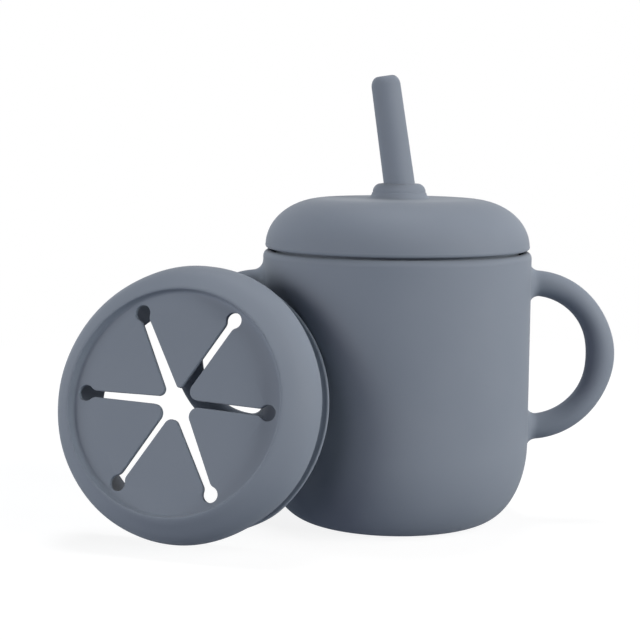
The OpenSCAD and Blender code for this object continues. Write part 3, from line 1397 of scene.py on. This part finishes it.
    def settle(self, point: Vector) -> Vector:
        """Move a point of the turned ring to where the soft lid really has it.

        The recess is moved as one, the dome's side is pressed out of round, and
        the lip is bent inwards where it stands.

        Args:
            point: Point in the lid's own frame, in metres.

        Returns:
            The moved point.
        """
        across, up, z = (c / MM for c in point)
        r = math.hypot(across, up)
        held = (self.recess_end - r) / (self.recess_end - self.recess_hold)
        share = smooth_share(min(1.0, max(0.0, held)))
        outer = (r - self.recess_hold) / (self.side_r - self.recess_hold)
        outer = min(1.0, max(0.0, outer))
        turn = math.degrees(math.atan2(up, across))
        if z < self.lip_below:
            near = min(1.0, abs(turn - self.lip_turn) / self.lip_span)
            out = -self.lip_in * (1 - smooth_share(near))
        else:
            count = len(self.side_out)
            place = turn % 360 / 360 * count
            first, along = int(place) % count, smooth_share(place % 1)
            out = self.side_out[first] * (1 - along)
            out += self.side_out[(first + 1) % count] * along
        grow = 1 + out * outer / max(r, 1.0)
        right, high = (step * share for step in self.recess_at)
        return Vector((across * grow + right, up * grow + high, z)) * MM

    def ring_profile(self) -> Profile:
        """Line of the lid's ring, round it from the disc's top to its underside.

        Returns:
            The line.
        """
        edge, top, soft, turn = self.edge, self.disc_top, self.bezel_round, self.opening_round
        under = top - self.disc_t
        dome = edge.dome(self.bezel_r + soft * self.bezel_over, 40)
        rise = edge.band + edge.dome_rise * math.sqrt(
            1 - ((self.bezel_r - edge.crown_r) / edge.dome_run) ** 2
        )
        start = np.array([self.bezel_r - self.bezel_foot, rise - soft * self.bezel_under])
        corner, after = np.array([self.bezel_r, rise]), np.array(dome[-1])
        bezel = [
            tuple((1 - s) ** 2 * start + 2 * s * (1 - s) * corner + s**2 * after)
            for s in np.linspace(0, 1, 7)[:-1]
        ]
        run, lift = self.crease_run, self.crease_rise
        crease = arc(self.floor_r, top + lift, run, lift, -90, -5, 8)
        plug = edge.plug(self.lip_r, self.opening_r)
        inner_corner = arc(self.opening_r - turn, under - turn, turn, turn, 0, 90, 5)
        return crease + bezel + dome[::-1] + plug[::-1] + inner_corner

    def hole_wall(self, shape: bmesh.types.BMesh, number: int) -> list[list[bmesh.types.BMVert]]:
        """Add the ring's half of the wall round an end hole.

        Args:
            shape: Mesh that the wall is added to.
            number: Slit's number from 0.

        Returns:
            Rows of vertices, from the top face to the bottom face.
        """
        slit, count = self.slits[number], len(self.slits)
        first, last = (
            unit(self.slits[beside % count].hole - slit.hole) * self.hole_r + slit.hole
            for beside in (number - 1, number + 1)
        )
        far = slit.hole + slit.outward * self.hole_r
        halves = self.hole_arc(slit, first, far, 12), self.hole_arc(slit, far, last, 12)[1:]
        line = np.vstack(halves)
        rows = self.rounded(line, (line - slit.hole) / self.hole_r, 0.0)
        made = [[shape.verts.new(Vector(p) * MM) for p in row] for row in rows]
        for one, two in zip(made, made[1:]):
            for i in range(len(one) - 1):
                shape.faces.new([one[i], one[i + 1], two[i + 1], two[i]])
        return made

    def disc_faces(self, shape: bmesh.types.BMesh) -> None:
        """Add the part of the slit disc that stays with the ring.

        Args:
            shape: Mesh of the turned ring.
        """
        count = len(self.slits)
        holes = [self.hole_wall(shape, number) for number in range(count)]
        for hole, after in zip(holes, holes[1:] + holes[:1]):
            start, end = [row[-1] for row in hole], [row[0] for row in after]
            shape.faces.new(start + end[::-1])
        turns = [2 * math.pi * i / self.segments for i in range(self.segments)]
        for which, r, z in (
            (0, self.floor_r, self.disc_top),
            (-1, self.opening_r - self.opening_round, self.disc_top - self.disc_t),
        ):
            band = [Vector((r * math.cos(t), r * math.sin(t), z)) * MM for t in turns]
            inner = [vert for hole in holes for vert in hole[which]]
            outer = [shape.verts.new(self.settle(point)) for point in band]
            edges = []
            for loop in (inner, outer):
                for pair in zip(loop, loop[1:] + loop[:1]):
                    edges.append(shape.edges.get(pair) or shape.edges.new(pair))
            bmesh.ops.triangle_fill(shape, use_beauty=True, edges=edges, normal=(0, 0, 1))

    def build_ring(self, material: bpy.types.Material) -> bpy.types.Object:
        """Build the lid's ring with the part of its disc outside the flaps.

        Args:
            material: Finish of the lid.

        Returns:
            The piece, riding on the snack lid's body.
        """
        piece = self.lathe.turn("snack_lid_ring", self.ring_profile(), material, self.segments)
        shape = bmesh.new()
        shape.from_mesh(piece.data)
        for vert in shape.verts:
            vert.co = self.settle(vert.co)
        self.disc_faces(shape)
        bmesh.ops.remove_doubles(shape, verts=shape.verts, dist=WELD)
        bmesh.ops.recalc_face_normals(shape, faces=shape.faces)
        for face in shape.faces:  # the level faces are flat right up to their roundings
            face.smooth = abs(face.normal.z) < self.level
        shape.to_mesh(piece.data)
        shape.free()
        piece.data.set_sharp_from_angle(angle=SHARP_ANGLE)
        piece.data.transform(self.place())
        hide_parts("snack_lid")
        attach(piece, "snack_lid")
        return piece

    def build(self, material: bpy.types.Material) -> list[bpy.types.Object]:
        """Build the ring and the six flaps.

        Args:
            material: Finish of the lid.

        Returns:
            All pieces.
        """
        flaps = [self.build_flap(n, material) for n in range(len(self.slits))]
        return [self.build_ring(material), *flaps]


# ---------------------------------------------------------------- studio


@dataclass(frozen=True)
class Softbox:
    """One large round soft lamp, aimed at the object."""

    name: str
    azimuth: float  # degrees from the front, towards the right
    elevation: float  # degrees
    watts: float
    colour: str = "#ffffff"
    size: float = 0.75  # metres
    away: float = 1.3  # metres
    aim: Point = (-0.02, -0.01, 0.055)  # metres

    def build(self) -> bpy.types.Object:
        """Make the lamp.

        Returns:
            Its object.
        """
        turn, rise = math.radians(self.azimuth), math.radians(self.elevation)
        towards = Vector(
            (math.sin(turn) * math.cos(rise), -math.cos(turn) * math.cos(rise), math.sin(rise))
        )
        data = bpy.data.lights.new(self.name, "AREA")
        data.shape = "DISK"
        data.size = self.size
        data.energy = self.watts
        data.color = linear(self.colour)[:3]
        lamp = bpy.data.objects.new(self.name, data)
        bpy.context.scene.collection.objects.link(lamp)
        lamp.location = Vector(self.aim) + towards * self.away
        lamp.rotation_euler = (-towards).to_track_quat("-Z", "Y").to_euler()
        return lamp


@dataclass(frozen=True)
class Viewpoint:
    """Camera at the object's usual viewing angle."""

    at: Point = (-0.0535, -0.5177, 0.12555)  # metres
    azimuth: float = 3.225  # degrees, towards the right
    down: float = 6.84  # degrees
    roll: float = 0.51  # degrees
    focal_px: float = 1639.3
    image_px: int = 640
    sensor: float = 36.0
    clip_start: float = 0.01  # metres

    def build(self) -> bpy.types.Object:
        """Make the camera and set it as the scene's.

        Returns:
            Its object.
        """
        turn, tilt, roll = (math.radians(a) for a in (self.azimuth, self.down, self.roll))
        ahead = Vector(
            (math.sin(turn) * math.cos(tilt), math.cos(turn) * math.cos(tilt), -math.sin(tilt))
        )
        level = Vector((math.cos(turn), -math.sin(turn), 0))
        upright = level.cross(ahead)
        right = level * math.cos(roll) + upright * math.sin(roll)
        up = upright * math.cos(roll) - level * math.sin(roll)
        data = bpy.data.cameras.new("camera")
        data.sensor_width = self.sensor
        data.lens = self.focal_px * self.sensor / self.image_px
        data.clip_start = self.clip_start
        camera = bpy.data.objects.new("camera", data)
        bpy.context.scene.collection.objects.link(camera)
        matrix = Matrix((right, up, -ahead)).transposed().to_4x4()
        matrix.translation = self.at
        camera.matrix_world = matrix
        bpy.context.scene.camera = camera
        return camera


@dataclass
class Studio:
    """White sweep with large softboxes at both sides and little light from in front."""

    floor_size: float = 8.0  # metres
    floor_white: float = 0.9
    floor_glow: float = 0.21  # light that the sweep throws up on the object
    glow_colour: str = "#dce8ff"
    shade_from: float = 0.22  # metres from the object, inside which its shadow shows
    shade_to: float = 0.45
    shade_depth: float = 0.3
    shade_lift: float = 0.8  # keeps the sweep white where no shadow falls
    lamps: tuple[Softbox, ...] = (
        Softbox("left softbox", -75, 5, 5.7, "#f5fbff", 0.75),
        Softbox("front left softbox", -45, 5, 3, "#f7efff", 0.75),
        Softbox("left strip", -60, 12, 2.9, "#fffff3", 0.4),
        Softbox("front right softbox", 52, 12, 6.4, "#f8ffff", 0.4),
        Softbox("right softbox", 75, 12, 5.6, "#fff9f3", 0.4),
        Softbox("top softbox", 180, 75, 6.7, "#f6faff", 0.5),
        Softbox("small top softbox", 60, 35, 0.32, "#fff8f8", 0.25, 0.42),
    )

    def seen(self, tree: bpy.types.NodeTree) -> bpy.types.NodeSocket:
        """Tell rays that look at the surroundings from rays that light.

        Args:
            tree: Tree that the nodes go into.

        Returns:
            Output that is 1 for the first and 0 for the second.
        """
        path = add_node(tree, "ShaderNodeLightPath").outputs
        seen = path["Is Camera Ray"]
        for other in ("Is Glossy Ray", "Is Transmission Ray"):
            seen = add_node(
                tree, "ShaderNodeMath", {"operation": "MAXIMUM"}, {0: seen, 1: path[other]}
            ).outputs["Value"]
        return seen

    def build_floor(self) -> bpy.types.Object:
        """Make the white floor, which keeps the object's soft shadow near it.

        Returns:
            Its object.
        """
        half = self.floor_size / 2 / MM
        corners = [(-half, -half, 0), (half, -half, 0), (half, half, 0), (-half, half, 0)]
        floor = make_piece("floor", corners, [[0, 1, 2, 3]], recalculate=False)
        material = bpy.data.materials.new("Painted sweep, matt white")
        tree = empty_tree(material)
        place = add_node(tree, "ShaderNodeTexCoord").outputs["Object"]
        away = add_node(
            tree, "ShaderNodeVectorMath", {"operation": "LENGTH"}, {"Vector": place}
        ).outputs["Value"]
        # only the eye sees the sweep mostly white near the object: light finds it matt
        matt_near = add_node(
            tree,
            "ShaderNodeMath",
            {"operation": "MULTIPLY_ADD"},
            {
                0: add_node(tree, "ShaderNodeLightPath").outputs["Is Camera Ray"],
                1: self.shade_depth - 1.0,
                2: 1.0,
            },
        )
        near = add_node(
            tree,
            "ShaderNodeMapRange",
            {"interpolation_type": "SMOOTHSTEP"},
            {
                "Value": away,
                "From Min": self.shade_from,
                "From Max": self.shade_to,
                "To Min": matt_near.outputs["Value"],
                "To Max": 0.0,
            },
        )
        white_paint = (self.floor_white, self.floor_white, self.floor_white, 1)
        matt = add_node(tree, "ShaderNodeBsdfDiffuse", inputs={"Color": white_paint})
        lift = add_node(
            tree,
            "ShaderNodeMath",
            {"operation": "MULTIPLY_ADD"},
            {0: near.outputs["Result"], 1: self.shade_lift, 2: 1.0},
        )
        white = add_node(
            tree,
            "ShaderNodeEmission",
            inputs={"Color": (1, 1, 1, 1), "Strength": lift.outputs["Value"]},
        )
        looks = add_node(
            tree,
            "ShaderNodeMixShader",
            inputs={
                0: near.outputs["Result"],
                1: white.outputs["Emission"],
                2: matt.outputs["BSDF"],
            },
        )
        glow = add_node(
            tree,
            "ShaderNodeEmission",
            inputs={"Color": linear(self.glow_colour), "Strength": self.floor_glow},
        )
        both = add_node(
            tree,
            "ShaderNodeMixShader",
            inputs={0: self.seen(tree), 1: glow.outputs["Emission"], 2: looks.outputs["Shader"]},
        )
        add_node(tree, "ShaderNodeOutputMaterial", inputs={"Surface": both.outputs["Shader"]})
        floor.data.materials.append(material)
        return floor

    def build_world(self) -> None:
        """Make the surroundings white to the eye and dark to surfaces."""
        world = bpy.data.worlds.new("studio")
        tree = empty_tree(world)
        white = add_node(
            tree,
            "ShaderNodeBackground",
            inputs={"Color": (1, 1, 1, 1), "Strength": self.seen(tree)},
        )
        add_node(tree, "ShaderNodeOutputWorld", inputs={"Surface": white.outputs["Background"]})
        bpy.context.scene.world = world

    def build(self) -> None:
        """Build the floor, the surroundings, the lamps and the view transform."""
        self.build_floor()
        self.build_world()
        for lamp in self.lamps:
            lamp.build()
        bpy.context.scene.view_settings.view_transform = "Standard"


def main() -> None:
    """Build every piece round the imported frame."""
    logging.basicConfig(level=logging.INFO, format="%(name)s: %(message)s")
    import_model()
    Viewpoint().build()
    cup_finish = MouldedSilicone("Silicone rubber, matte moulded, cup").material()
    lid_finish = MouldedSilicone("Silicone rubber, matte moulded, lids").material()
    straw_finish = MouldedSilicone("Silicone rubber, matte moulded, straw").material()
    lathe, edge = Lathe(), LidEdge()
    pieces = [
        CupWithHandles().build(cup_finish),
        StrawLid(edge, lathe).build(lid_finish),
        Straw(lathe).build(straw_finish),
        *SnackLid(edge, lathe).build(lid_finish),
    ]
    Studio().build()
    for piece in pieces:
        report(piece)


if __name__ == "__main__":
    main()
